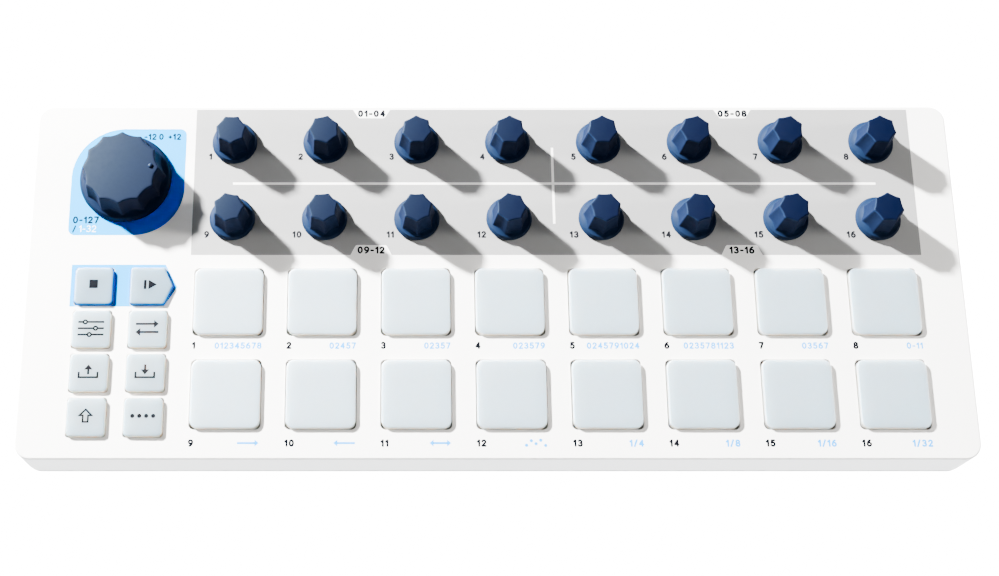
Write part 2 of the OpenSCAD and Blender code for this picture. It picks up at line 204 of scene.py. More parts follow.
# Painted glow: a warm, lighter colour on the mode keys' sides stands in for light passing through the frosted plastic
# into their shaded sides.
WARM_GLOW_PAINT = moulded("button_side_painted_warm_glow", (0.50, 0.455, 0.405), 0.55, 0.05, 0.015, 80.0, 2600.0,
                0.10, 2e-5, 0.06, (0.52, 0.475, 0.425), spec=0.4, sss=1.0, sss_scale=0.0200,
                sss_radius=(1.7, 1.0, 0.75))
# Painted light in the gap: the mode keys' skirt below the deck is pale so the gap round each key shows no shade.
GAP_LIGHT_PAINT = moulded("button_skirt_painted_gap_light", (0.46, 0.44, 0.41), 0.6, 0.06, 0.03, 200.0, 1800.0, 0.2, 2e-5,
                0.1, (0.50, 0.48, 0.45), spec=0.2)
# Painted reflection and shade: blue on the stop and play keys' sides and skirts stands in for the blue band mirrored
# in them while they are in shade.
BLUE_REFLECTION_PAINT = moulded("button_side_painted_blue_reflection", (0.010, 0.16, 0.52), 0.55, 0.05, 0.03, 80.0, 2600.0,
                0.10, 2e-5, 0.06, (0.012, 0.17, 0.54), spec=0.1)
# Painted glow: a warm, lighter colour on the pads' sides stands in for light passing through the silicone into their
# shaded sides.
PAD_GLOW_PAINT = moulded("pad_side_warm_tinge", (0.58, 0.555, 0.52), 0.6, 0.05, 0.015, 80.0, 2600.0,
                   0.10, 2e-5, 0.06, (0.60, 0.575, 0.54), spec=0.3, sss=1.0, sss_scale=0.0200,
                   sss_radius=(1.3, 1.0, 0.8))
# Painted gap shade: the pads' flange below the deck is one piece with the pad but is coloured apart, with no glow of
# its own, so its colour sets how dark the gap lines round the pads look; the gap's shade is partly real and partly
# this paint.
GAP_SHADE_PAINT = moulded("key_skirt_painted_gap_shade", (0.400, 0.386, 0.366), 0.6, 0.06, 0.10, 200.0, 1800.0, 0.2, 2e-5,
                 0.2, (0.430, 0.415, 0.390), spec=0.2)
PAINT = moulded("base_powder_coat", (0.055, 0.056, 0.060), 0.55, 0.10, 0.08, 60.0, 1500.0,
                0.55, 6e-5, 0.25, (0.085, 0.086, 0.09))
RUBBER = moulded("foot_rubber", (0.022, 0.022, 0.023), 0.75, 0.08, 0.15, 200.0, 1800.0, 0.4, 4e-5,
                 0.2, (0.05, 0.05, 0.05), spec=0.35)
STEEL = moulded("socket_tinned_steel", (0.62, 0.63, 0.65), 0.32, 0.10, 0.06, 300.0, 900.0, 0.12,
                1e-5, metallic=1.0, brushed=(1.0, 14.0, 1.0))
BRASS = moulded("bush_turned_brass", (0.62, 0.46, 0.17), 0.30, 0.10, 0.08, 400.0, 900.0, 0.15,
                1e-5, metallic=1.0, brushed=(1.0, 1.0, 16.0))
ZINC = moulded("screw_zinc_plate", (0.58, 0.58, 0.60), 0.34, 0.10, 0.08, 500.0, 1500.0, 0.15,
               1e-5, metallic=1.0)
BLACKSCREW = moulded("screw_black_oxide", (0.035, 0.035, 0.038), 0.38, 0.10, 0.15, 500.0, 1600.0,
                     0.2, 2e-5, metallic=0.6)
BLACK = moulded("housing_black_plastic", (0.020, 0.020, 0.022), 0.48, 0.10, 0.15, 200.0, 1600.0,
                0.25, 3e-5, 0.2, (0.045, 0.045, 0.047))
CHIP = moulded("chip_moulding", (0.016, 0.016, 0.018), 0.60, 0.08, 0.15, 300.0, 2400.0, 0.35, 2e-5,
               0.3, (0.04, 0.04, 0.042))
GREEN = moulded("board_solder_mask", (0.012, 0.115, 0.050), 0.34, 0.10, 0.18, 90.0, 900.0, 0.2,
                2e-5, 0.5, (0.020, 0.155, 0.070))
AMBER = moulded("film_polyimide", (0.46, 0.20, 0.035), 0.28, 0.08, 0.08, 120.0, 900.0, 0.1, 1e-5)
LENS = moulded("led_resin", (0.82, 0.79, 0.62), 0.18, 0.05, 0.05, 400.0, 1500.0, 0.05, 1e-5,
               coat=0.5, coat_rough=0.08)


# ---------------------------------------------------------------- outlines, mm
def rrect(w, d, r, n=8, cx=0.0, cy=0.0):
    r = max(r, 0.02)
    pts = []
    for k, (sx, sy) in enumerate(((1, 1), (-1, 1), (-1, -1), (1, -1))):
        for i in range(n + 1):
            a = math.radians(90 * k + 90 * i / n)
            pts.append((cx + sx * (w / 2 - r) + r * math.cos(a),
                        cy + sy * (d / 2 - r) + r * math.sin(a)))
    return pts


def circ(r, n=48, cx=0.0, cy=0.0, a0=0.0):
    return [(cx + r * math.cos(a0 + 2 * math.pi * i / n), cy + r * math.sin(a0 + 2 * math.pi * i / n))
            for i in range(n)]


def round_poly(pts, r, n=5):
    out, m = [], len(pts)
    for i in range(m):
        p0, p, p1 = Vector(pts[i - 1]), Vector(pts[i]), Vector(pts[(i + 1) % m])
        ri = r[i] if isinstance(r, (list, tuple)) else r
        if ri <= 0:
            out.append((p.x, p.y))
            continue
        d0, d1 = (p0 - p).normalized(), (p1 - p).normalized()
        ang = d0.angle(d1)
        t = ri / math.tan(ang / 2)
        a, b = p + d0 * t, p + d1 * t
        c = p + (d0 + d1).normalized() * (ri / math.sin(ang / 2))
        a0, a1 = math.atan2(a.y - c.y, a.x - c.x), math.atan2(b.y - c.y, b.x - c.x)
        da = (a1 - a0 + math.pi) % (2 * math.pi) - math.pi
        for k in range(n + 1):
            out.append((c.x + ri * math.cos(a0 + da * k / n), c.y + ri * math.sin(a0 + da * k / n)))
    return out


def grow(pts, g):
    """Convex outline, counter-clockwise, with each side moved out by g."""
    out, m = [], len(pts)
    for i in range(m):
        p0, p, p1 = Vector(pts[i - 1]), Vector(pts[i]), Vector(pts[(i + 1) % m])
        e0, e1 = (p - p0).normalized(), (p1 - p).normalized()
        n0, n1 = Vector((e0.y, -e0.x)), Vector((e1.y, -e1.x))
        k = g / (1 + n0.dot(n1))
        out.append((p.x + (n0.x + n1.x) * k, p.y + (n0.y + n1.y) * k))
    return out


def arrow_outline(g, r):
    h = BTN_W / 2
    base = [(PLAY_X[0], -h), (PLAY_X[1], -h), (PLAY_X[2], 0.0), (PLAY_X[1], h), (PLAY_X[0], h)]
    base = [(x, y + BTN_Y[0]) for x, y in base]
    return round_poly(grow(base, g), [max(0.05, r + g)] * 2 + [max(0.05, 0.7 * r + g)]
                      + [max(0.05, r + g)] * 2, 6)


# ---------------------------------------------------------------- mesh helpers
def ring(bm, pts, z=None):
    if z is None:
        return [bm.verts.new((x * MM, y * MM, q * MM)) for x, y, q in pts]
    return [bm.verts.new((x * MM, y * MM, z * MM)) for x, y in pts]


def bridge(bm, a, b, mat=0, skip=()):
    n = len(a)
    for i in range(n):
        if i not in skip:
            j = (i + 1) % n
            bm.faces.new((a[i], a[j], b[j], b[i])).material_index = mat


def skin(bm, rings, mat=0):
    for a, b in zip(rings, rings[1:]):
        bridge(bm, a, b, mat)


def cap(bm, a, mat=0):
    bm.faces.new(a).material_index = mat


def fan(bm, a, point, mat=0):
    c = bm.verts.new(Vector(point) * MM)
    n = len(a)
    for i in range(n):
        bm.faces.new((a[i], a[(i + 1) % n], c)).material_index = mat


def fill(bm, loops, mat=0):
    edges = []
    for lp in loops:
        n = len(lp)
        for i in range(n):
            pair = (lp[i], lp[(i + 1) % n])
            edges.append(bm.edges.get(pair) or bm.edges.new(pair))
    got = bmesh.ops.triangle_fill(bm, use_beauty=True, use_dissolve=False, edges=edges)
    for g in got["geom"]:
        if isinstance(g, bmesh.types.BMFace):
            g.material_index = mat


def make_mesh(name, bm, mats, sharp=40.0):
    bmesh.ops.recalc_face_normals(bm, faces=bm.faces[:])
    me = bpy.data.meshes.new(name)
    bm.to_mesh(me)
    bm.free()
    for m in mats:
        me.materials.append(m)
    for p in me.polygons:
        p.use_smooth = True
    me.set_sharp_from_angle(angle=math.radians(sharp))
    return me


def place(name, me, body, nodes=(), loc=(0, 0, 0), turn=0.0, weighted=True):
    ob = bpy.data.objects.new(name, me)
    bpy.context.scene.collection.objects.link(ob)
    ob.location = Vector(loc) * MM
    ob.rotation_euler = (0, 0, math.radians(turn))
    if weighted:
        w = ob.modifiers.new("weighted", "WEIGHTED_NORMAL")
        w.keep_sharp = True
        w.weight = 60
    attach(ob, body)
    if nodes:
        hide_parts(*nodes)
    return ob


def revolve(bm, prof, cx=0.0, cy=0.0, n=48, mat=0):
    """Closed turned solid from (r, z) pairs, axis to axis."""
    rings = [ring(bm, circ(r, n, cx, cy), z) for r, z in prof if r > 1e-6]
    skin(bm, rings, mat)
    fan(bm, rings[0], (cx, cy, prof[0][1]), mat)
    fan(bm, rings[-1], (cx, cy, prof[-1][1]), mat)


def prism(bm, outer, holes, z0, z1, mat=0):
    lo, hi = ring(bm, outer, z0), ring(bm, outer, z1)
    bridge(bm, lo, hi, mat)
    los, his = [lo], [hi]
    for h in holes:
        a, b = ring(bm, h, z0), ring(bm, h, z1)
        bridge(bm, a, b, mat)
        los.append(a)
        his.append(b)
    fill(bm, los, mat)
    fill(bm, his, mat)


def arc(f, steps):
    """Quarter round: (inset, drop) pairs from the flat to the upright."""
    return [(f * (1 - math.sin(math.pi / 2 * k / steps)), f * (1 - math.cos(math.pi / 2 * k / steps)))
            for k in range(steps + 1)]


# ---------------------------------------------------------------- top shell
def build_shell():
    bm = bmesh.new()
    n = 16

    def loop(inset, z):
        return ring(bm, rrect(CASE_W - 2 * inset, CASE_D - 2 * inset, CORNER - inset, n), z)

    def lean(z):
        return DRAFT * (DZ - z) / SHELL_H

    edge = [loop(i - lean(DZ - d), DZ - d) for i, d in arc(0.6, 8)]
    skin(bm, edge)
    low = [loop(i - lean(RIM_Z + d), RIM_Z + d) for i, d in reversed(arc(0.6, 5))]
    bridge(bm, low[0], edge[-1], 0, skip=(n,))
    skin(bm, low)
    lip = loop(WALL - 0.3, RIM_Z)
    lip2 = loop(WALL, RIM_Z + 0.3)
    top_in = loop(WALL, DU)
    skin(bm, [low[-1], lip, lip2])
    bridge(bm, lip2, top_in, 0, skip=(n,))

    deck, under = [edge[0]], [top_in]

    def hole(outline, f=0.3):
        rs = [ring(bm, outline(i), DZ - d) for i, d in arc(f, 4)]
        rs.append(ring(bm, outline(0.0), DU))
        skin(bm, rs)
        deck.append(rs[0])
        under.append(rs[-1])

    for c in range(8):
        for y in PAD_Y:
            hole(lambda o, x=pad_x(c), y=y: rrect(PAD_W + 2 * (PAD_GAP + o), PAD_W + 2 * (PAD_GAP + o),
                                                  PAD_SLOT_R + o, 7, x, y), 0.12)
        for y in KNOB_Y:
            hole(lambda o, x=knob_x(c), y=y: circ(3.9 + o, 40, x, y), 0.25)
    hole(lambda o: circ(3.9 + o, 40, *DIAL), 0.25)
    for x, y in BTN_AT:
        hole(lambda o, x=x, y=y: rrect(BTN_W + 2 * (GAP + o), BTN_W + 2 * (GAP + o),
                                       BTN_SLOT_R + o, 6, x, y), 0.10)
    hole(lambda o: arrow_outline(GAP + o, 0.9), 0.10)
    fill(bm, deck)
    fill(bm, under)

    # rear wall with the openings for the sockets and the lock
    yo, yi = CASE_D / 2, CASE_D / 2 - WALL
    out_loops = [[edge[-1][n], edge[-1][n + 1], low[0][n + 1], low[0][n]]]
    in_loops = [[top_in[n], top_in[n + 1], lip2[n + 1], lip2[n]]]

    def port(outline):
        rs = [ring(bm, [(x, yo + lean(z) - d, z) for x, z in outline(i)]) for i, d in arc(0.35, 4)]
        rs.append(ring(bm, [(x, yi, z) for x, z in outline(0.0)]))
        skin(bm, rs)
        out_loops.append(rs[0])
        in_loops.append(rs[-1])

    port(lambda o: rrect(9.2 + 2 * o, 4.9 + 2 * o, 0.5 + o, 6, USB_X, BOARD_TOP + 2.05))
    for x in JACK_X:
        port(lambda o, x=x: circ(3.2 + o, 48, x, JACK_Z))
    port(lambda o: rrect(7.2 + 2 * o, 3.2 + 2 * o, 0.5 + o, 6, LOCK_X, LOCK_Z))
    fill(bm, out_loops)
    fill(bm, in_loops)

    # screw bosses under the deck
    for (x, y), r, z in [(p, 4.0, 3.2) for p in BASE_BOSS] + [(p, 3.2, BOARD_TOP) for p in BOARD_BOSS]:
        revolve(bm, [(0, z + 7), (1.53, z + 7), (1.53, z + 0.3), (1.83, z), (r - 0.3, z), (r, z + 0.3),
                     (r, DU + 0.4), (0, DU + 0.4)], x, y, 40)
    return make_mesh("top_shell_mesh", bm, [WHITE])


place("top_shell", build_shell(), "case", ("top_shell",))


# ---------------------------------------------------------------- base, screws, feet
def build_base():
    bm = bmesh.new()
    w, d, r = CASE_W - 5.8, CASE_D - 5.8, 4.6
    lo, hi = 2.0, 3.2
    rs = [ring(bm, rrect(w - 2 * i, d - 2 * i, r - i, 10), lo + k) for i, k in arc(0.35, 4)]
    rs += [ring(bm, rrect(w - 2 * i, d - 2 * i, r - i, 10), hi - k) for i, k in reversed(arc(0.35, 4))]
    skin(bm, rs)
    los, his = [rs[0]], [rs[-1]]
    for x, y in BASE_BOSS:
        a = [ring(bm, circ(1.7 + i, 32, x, y), lo + k) for i, k in arc(0.3, 3)]
        a.append(ring(bm, circ(1.7, 32, x, y), hi))
        skin(bm, a)
        los.append(a[0])
        his.append(a[-1])
    fill(bm, los)
    fill(bm, his)
    return make_mesh("base_plate_mesh", bm, [PAINT])


place("base_plate", build_base(), "case", ("base_plate",))


def hexagon(r, n, cx, cy):
    """n points round a hexagon of that corner radius."""
    out = []
    for i in range(n):
        a = 2 * math.pi * i / n
        b = (a % (math.pi / 3)) - math.pi / 6
        q = r * math.cos(math.pi / 6) / math.cos(b)
        out.append((cx + q * math.cos(a), cy + q * math.sin(a)))
    return out


def build_screws():
    bm = bmesh.new()
    n = 48
    for x, y in BASE_BOSS:
        rs = [ring(bm, circ(r, n, x, y), z) for r, z in
              ((1.5, 10.2), (1.5, 2.0), (2.8, 2.0), (2.8, 1.35), (2.72, 1.12), (2.5, 0.93), (2.15, 0.82),
               (1.7, 0.8))]
        rs.append(ring(bm, hexagon(1.25, n, x, y), 0.8))
        rs.append(ring(bm, hexagon(1.15, n, x, y), 0.92))
        rs.append(ring(bm, hexagon(1.15, n, x, y), 1.5))
        skin(bm, rs)
        fan(bm, rs[0], (x, y, 10.5))
        fan(bm, rs[-1], (x, y, 1.62))
    return make_mesh("base_screws_mesh", bm, [BLACKSCREW])


place("base_screws", build_screws(), "case", ("base_screws",))


def build_feet():
    bm = bmesh.new()
    for x in (-130, 130):
        for y in (-43, 43):
            revolve(bm, [(0, 0.35), (3.4, 0.35), (3.7, 0.28), (3.95, 0.06), (4.2, 0.0), (5.1, 0.0), (5.5, 0.08),
                         (5.8, 0.26), (5.95, 0.5), (6.0, 0.8), (6.0, 2.0), (0, 2.0)], x, y, 64)
    return make_mesh("rubber_feet_mesh", bm, [RUBBER])


place("rubber_feet", build_feet(), "case", ("rubber_feet",))


# ---------------------------------------------------------------- rear sockets
def along_y(bm, stations, mat=0):
    """Rings standing across Y: each station is (outline, y)."""
    rs = [ring(bm, [(x, y, z) for x, z in o]) for o, y in stations]
    skin(bm, rs, mat)
    return rs


def build_usb():
    bm = bmesh.new()
    y1 = CASE_D / 2 - 0.6
    cz = BOARD_TOP + 1.95

    def o(w, h, r):
        return rrect(w, h, r, 6, USB_X, cz)

    rs = along_y(bm, [(o(7.3, 3.5, 0.5), y1 - 9.2), (o(7.7, 3.9, 0.7), y1 - 9.0), (o(7.7, 3.9, 0.7), y1 - 0.15),
                      (o(7.5, 3.7, 0.6), y1), (o(7.1, 3.3, 0.45), y1), (o(6.8, 3.0, 0.4), y1 - 0.3),
                      (o(6.8, 3.0, 0.4), y1 - 7.4)])
    cap(bm, rs[0])
    cap(bm, rs[-1])
    # tongue and its contacts

    def box(x0, x1, ya, yb, z0, z1, b, mat):
        q = rrect(x1 - x0, z1 - z0, b, 3, (x0 + x1) / 2, (z0 + z1) / 2)
        q2 = rrect(x1 - x0 - 2 * b, z1 - z0 - 2 * b, b * 0.5, 3, (x0 + x1) / 2, (z0 + z1) / 2)
        r2 = along_y(bm, [(q, ya), (q, yb - b), (q2, yb)], mat)
        cap(bm, r2[0], mat)
        cap(bm, r2[-1], mat)

    box(USB_X - 2.3, USB_X + 2.3, y1 - 7.5, y1 - 1.2, cz - 0.45, cz + 0.45, 0.12, 1)
    for k in range(5):
        x = USB_X - 1.6 + 0.8 * k
        box(x - 0.16, x + 0.16, y1 - 7.3, y1 - 1.8, cz - 0.55, cz - 0.40, 0.03, 2)
    return make_mesh("usb_socket_mesh", bm, [STEEL, BLACK, BRASS])


place("usb_socket", build_usb(), "case", ("usb_socket",))


def build_jacks():
    bm = bmesh.new()
    yb, ym, yf = CASE_D / 2 - 14.6, CASE_D / 2 - 2.8, CASE_D / 2 - 0.3
    n = 48
    for x in JACK_X:
        cz = BOARD_TOP + 3.5

        def o(i):
            return rrect(8 - 2 * i, 7 - 2 * i, 0.5, 11, x, cz)

        body = along_y(bm, [(o(0.35), yb), (o(0.0), yb + 0.35), (o(0.0), ym - 0.35), (o(0.35), ym)])
        neck = along_y(bm, [(circ(2.9, n, x, JACK_Z, math.pi / 4), ym), (circ(2.9, n, x, JACK_Z, math.pi / 4), yf - 0.3),
                            (circ(2.8, n, x, JACK_Z, math.pi / 4), yf - 0.09), (circ(2.6, n, x, JACK_Z, math.pi / 4), yf)])
        bridge(bm, body[-1], [neck[0][(i - 6) % n] for i in range(n)])
        ringy = along_y(bm, [(circ(2.55, n, x, JACK_Z, math.pi / 4), yf), (circ(2.5, n, x, JACK_Z, math.pi / 4), yf - 0.12),
                             (circ(2.05, n, x, JACK_Z, math.pi / 4), yf - 0.12), (circ(1.85, n, x, JACK_Z, math.pi / 4), yf - 0.3),
                             (circ(1.8, n, x, JACK_Z, math.pi / 4), yf - 3.0)], 1)
        bridge(bm, neck[-1], ringy[0], 0)
        bore = along_y(bm, [(circ(1.8, n, x, JACK_Z, math.pi / 4), yb + 1.3)])
        bridge(bm, ringy[-1], bore[0], 0)
        cap(bm, body[0])
        cap(bm, bore[0])
    bmesh.ops.remove_doubles(bm, verts=bm.verts[:], dist=1e-8)
    return make_mesh("jack_sockets_mesh", bm, [BLACK, STEEL])


place("jack_sockets", build_jacks(), "case", ("jack_sockets",))


def build_lock():
    bm = bmesh.new()
    y0, y1 = CASE_D / 2 - WALL - 1.2, CASE_D / 2 - WALL
    n = 6

    def o(i):
        return rrect(15 - 2 * i, 8.6 - 2 * i, 0.8, n, LOCK_X, LOCK_Z + 0.1)

    def h(i):
        return rrect(7 + 2 * i, 3 + 2 * i, 0.6 + i, n, LOCK_X, LOCK_Z)

    outer = along_y(bm, [(o(0.2), y0), (o(0), y0 + 0.2), (o(0), y1 - 0.02), (o(0.02), y1)])
    inner = along_y(bm, [(h(0.2), y0), (h(0), y0 + 0.2), (h(0), y1 - 0.2), (h(0.2), y1)])
    bridge(bm, outer[0], inner[0])
    bridge(bm, outer[-1], inner[-1])
    return make_mesh("lock_plate_mesh", bm, [STEEL])


place("lock_plate", build_lock(), "case", ("lock_plate",))


# ---------------------------------------------------------------- knobs
def soft_min(a, b, s):
    return -s * math.log(math.exp(-(a - b) / s) + 1.0) + b if abs(a - b) < 30 * s else min(a, b)


def soft_max(a, b, s):
    return s * math.log(math.exp((a - b) / s) + 1.0) + b if abs(a - b) < 30 * s else max(a, b)


def build_knob(name, sides, rv, ap, skirt, rim, lift, top, edge, dome, per, blunt, mats, dot=None):
    """Grip of concave sides that fades into a dished round skirt. Heights are above the deck."""
    bm = bmesh.new()
    beta = math.pi / sides
    ths = []
    for s in range(sides):
        mid_a = math.pi / 2 - beta + 2 * beta * s
        for k in range(per):
            u = -1 + 2 * k / per
            ths.append((mid_a + beta * math.sin(u * math.pi / 2), beta * math.sin(u * math.pi / 2)))

    def side(al, z):
        v, a = rv(z), ap(z)
        c = (v * v - a * a) / (2 * (v * math.cos(beta) - a))
        q = c - a
        r = c * math.cos(al) - math.sqrt(max(0.0, q * q - (c * math.sin(al)) ** 2))
        return soft_min(r, v - blunt, 0.6 * blunt)

    def outline(z, inset=0.0, k=1.0):
        out = []
        for th, al in ths:
            r = (soft_max(side(al, z), skirt(z), 0.10) - inset) * k
            out.append((r * math.cos(th), r * math.sin(th)))
        return out

    rr, z0 = rim, 0.6
    rs = [ring(bm, [(3.0 * math.cos(t), 3.0 * math.sin(t)) for t, _ in ths], -9.0),
          ring(bm, [(3.0 * math.cos(t), 3.0 * math.sin(t)) for t, _ in ths], z0 + 0.25),
          ring(bm, [((rr - 1.2) * math.cos(t), (rr - 1.2) * math.sin(t)) for t, _ in ths], z0 + 0.25)]
    for r, z in ((rr - 0.9, z0 + 0.02), (rr - 0.75, z0), (rr - 0.25, z0), (rr - 0.09, z0 + 0.06), (rr, z0 + 0.22),
                 (rr - 0.08, z0 + 0.4), (rr - 0.45, z0 + 0.42 + lift), (rr - 0.52, z0 + 0.55 + lift),
                 (rr - 0.63, z0 + 0.66 + lift)):
        rs.append(ring(bm, [(r * math.cos(t), r * math.sin(t)) for t, _ in ths], z))
    body_top = top - dome - edge
    z = z0 + 0.78 + lift
    while z < 5.0:
        rs.append(ring(bm, outline(z), z))
        z += 0.16
    while z < body_top - 0.5:
        rs.append(ring(bm, outline(z), z))
        z += 0.55
    big = rv(top) - edge

    def lid(pts, drop):
        return ring(bm, [(x, y, top - dome * (x * x + y * y) / big ** 2 - drop) for x, y in pts])

    for k in range(8):
        t = math.pi / 2 * k / 7
        rs.append(lid(outline(body_top, edge * (1 - math.cos(t))), edge * (1 - math.sin(t))))
    for k in (0.94, 0.82, 0.66, 0.48, 0.30, 0.14):
        rs.append(lid(outline(body_top, edge, k), 0.0))
    skin(bm, rs)
    fan(bm, rs[0], (0, 0, -9.2))
    fan(bm, rs[-1], (0, 0, top))
    if dot:
        x, y, r, h = dot
        zt = top - dome * ((x * x + y * y) / big ** 2)
        rings = []
        for k in range(9):
            t = math.pi / 2 * k / 9
            rings.append(ring(bm, circ(r * math.cos(t), 32, x, y), zt - 0.08 + (h + 0.08) * math.sin(t)))
        skin(bm, rings)
        fan(bm, rings[-1], (x, y, zt + h))
        cap(bm, rings[0])
    # The flat top takes the navy; the top's rounded edge, the rim and the faces turned upward take the third material,
    # on the step knobs a lighter copy as painted sheen; the rest of the grip takes the second.
    for f in bm.faces:
        f.normal_update()
        z, up = f.calc_center_median().z / MM, abs(f.normal.z)
        if z > body_top - 0.05:
            f.material_index = 0 if up > 0.9 else 2
        else:
            f.material_index = 2 if z < z0 + 0.78 + lift or up > 0.55 else 1
    return make_mesh(name, bm, [NAVY, *mats], 75.0)


# Step knobs: painted sheen on the skirt, the upward faces and the top's rounded edge.
knob_mesh = build_knob("step_knob_mesh", 7,
                       lambda z: 6.35 - 0.1126 * (z - 1.4),
                       lambda z: 5.45 - 0.100 * (z - 1.4),
                       lambda z: 4.3 + 2.57 * math.exp(-(z - 2.2) / 1.15),
                       7.5, 0.8, KNOB_H, 0.45, 0.14, 20, 0.14, (GRIP, SKIRT_SHEEN_PAINT))
knob_obs = []
for i in range(16):
    nm = "knob_%02d" % (i + 1)
    knob_obs.append(place("step_" + nm, knob_mesh, nm, (nm,),
                          (knob_x(i % 8), KNOB_Y[i // 8], DZ), TURN[i]))

dial_mesh = build_knob("main_dial_mesh", 12,
                       lambda z: 14.0 - 0.1480 * (z - 1.4),
                       lambda z: 12.80 - 0.1330 * (z - 1.4),
                       lambda z: 9.5 + 5.07 * math.exp(-(z - 2.23) / 2.3),
                       15.2, 0.85, DIAL_H, 0.45, 0.40, 24, 0.14, (DIAL_GRIP, DIAL_SKIRT), dot=(9.85, 0.5, 0.86, 0.5))
knob_obs.append(place("large_dial", dial_mesh, "main_dial", ("main_dial",), (*DIAL, DZ)))


# ---------------------------------------------------------------- pads and buttons
def build_key(name, outline, flange, low, flange_t, up, f, crown, mat, stem=None, side=None, skirt=None):
    """A key with a flange below, upright sides, a rounded rim and a faintly crowned top."""
    bm = bmesh.new()
    rs = [ring(bm, outline(flange - 0.2), low), ring(bm, outline(flange), low + 0.2),
          ring(bm, outline(flange), low + flange_t - 0.2), ring(bm, outline(flange - 0.2), low + flange_t),
          ring(bm, outline(0.0), low + flange_t), ring(bm, outline(0.0), DZ - 1.1)]
    top = DZ + up
    for i, d in reversed(arc(f, 8)):
        rs.append(ring(bm, outline(-i), top - crown - d))
    for i, c in ((f + 0.5, 0.25), (f + 1.4, 0.55), (f + 2.6, 0.8), (f + 3.8, 0.95)):
        rs.append(ring(bm, outline(-i), top - crown + crown * c))
    # Material 1 goes on the flange and the sides below the deck, material 2 on the sides above it and the lower half
    # of the rim: these carry each key's painted glow, painted blue reflection and painted gap shade or gap light.
    skin(bm, rs[:6], 1)
    skin(bm, rs[5:11], 2)
    skin(bm, rs[10:])
    cap(bm, rs[0], 1)
    cap(bm, rs[-1])
    if stem:
        x, y, z = stem
        revolve(bm, [(0, z), (1.5, z), (1.75, z + 0.25), (1.75, low + 0.5), (0, low + 0.5)], x, y, 32, 1)
    return make_mesh(name, bm, [mat, skirt or GAP_SHADE_PAINT, side or mat], 50.0)


STEM_Z = BOARD_TOP + 3.4 + 0.8 + 0.15
# Pads: painted warm glow on the sides and painted gap shade on the flange below.
pad_mesh = build_key("step_pad_mesh", lambda o: rrect(PAD_W + 2 * o, PAD_W + 2 * o, max(PAD_R + o, 0.3), 8),
                     1.5, PAD_LOW, 2.0, PAD_UP, 0.40, 0.06, FROST, None, PAD_GLOW_PAINT)
for i in range(16):
    nm = "pad_%02d" % (i + 1)
    place("step_" + nm, pad_mesh, nm, (nm,), (pad_x(i % 8), PAD_Y[i // 8], 0))

# Mode keys: painted warm glow on the sides and painted light in the gap below them.
btn_mesh = build_key("square_button_mesh", lambda o: rrect(BTN_W + 2 * o, BTN_W + 2 * o, max(1.6 + o, 0.25), 8),
                     0.6, BTN_LOW, 1.6, BTN_UP, 0.5, 0.05, BUTTON, (0, 0, STEM_Z), WARM_GLOW_PAINT, GAP_LIGHT_PAINT)
# Stop key: painted blue reflection on its sides and skirt.
stop_mesh = build_key("stop_button_mesh", lambda o: rrect(BTN_W + 2 * o, BTN_W + 2 * o, max(1.6 + o, 0.25), 8),
                      0.6, BTN_LOW, 1.6, BTN_UP, 0.5, 0.05, TRANSPORT, (0, 0, STEM_Z), BLUE_REFLECTION_PAINT, BLUE_REFLECTION_PAINT)
for (x, y), nm in zip(BTN_AT, BTN_NAME):
    place("key_" + nm, stop_mesh if nm == "stop_button" else btn_mesh, nm, (nm,), (x, y, 0))
# Play key: painted blue reflection on its sides and skirt.
play_mesh = build_key("play_button_mesh", lambda o: arrow_outline(o, 0.9 if o > -1.2 else 0.9),
                      0.6, BTN_LOW, 1.6, BTN_UP, 0.5, 0.05, TRANSPORT, (BXR, BTN_Y[0], STEM_Z), BLUE_REFLECTION_PAINT, BLUE_REFLECTION_PAINT)
place("key_play_button", play_mesh, "play_button", ("play_button",))


# ---------------------------------------------------------------- printed graphics
INK = 0.02


def flat(name, polys, mat, body="case", z=DZ, under=0.03, over=INK):
    """Thin closed film of ink: polys is a list of (outline, holes)."""
    bm = bmesh.new()
    for outer, holes in polys:
        prism(bm, outer, holes, z - under, z + over)
    me = make_mesh(name + "_mesh", bm, [mat])
    return place(name, me, body, weighted=False)


def bar(x0, y0, x1, y1, w):
    """Straight stroke from one point to another."""
    d = Vector((x1 - x0, y1 - y0)).normalized() * (w / 2)
    return ([(x0 + d.y, y0 - d.x), (x1 + d.y, y1 - d.x), (x1 - d.y, y1 + d.x), (x0 - d.y, y0 + d.x)], [])


def block(x0, y0, x1, y1, r=0.0):
    if r:
        return (rrect(x1 - x0, y1 - y0, r, 4, (x0 + x1) / 2, (y0 + y1) / 2), [])
    return ([(x0, y0), (x1, y0), (x1, y1), (x0, y1)], [])


def moved(polys, dx, dy):
    return [([(x + dx, y + dy) for x, y in o], [[(x + dx, y + dy) for x, y in h] for h in hs])
            for o, hs in polys]


# grey knob panel with white lines and four tabs left open
PX0, PX1, PY0, PY1 = -99.25, 139.8, 7.4, 58.8
TABS = (COL0 + 1.5 * PITCH, COL0 + 5.5 * PITCH)


def tab_rear(x):
    a = [(x + 6.3, PY1), (x + 4.3, PY1 - 3.1), (x - 4.3, PY1 - 3.1), (x - 6.3, PY1)]
    return [a[0]] + round_poly([(x + 8, PY1 + 2)] + a[1:3] + [(x - 8, PY1 + 2)], [0, 0.9, 0.9, 0], 5)[1:-1] + [a[3]]


def tab_front(x):
    a = [(x - 6.75, PY0), (x - 5.0, PY0 + 3.4), (x + 5.0, PY0 + 3.4), (x + 6.75, PY0)]
    return [a[0]] + round_poly([(x - 8, PY0 - 2)] + a[1:3] + [(x + 8, PY0 - 2)], [0, 0.9, 0.9, 0], 5)[1:-1] + [a[3]]


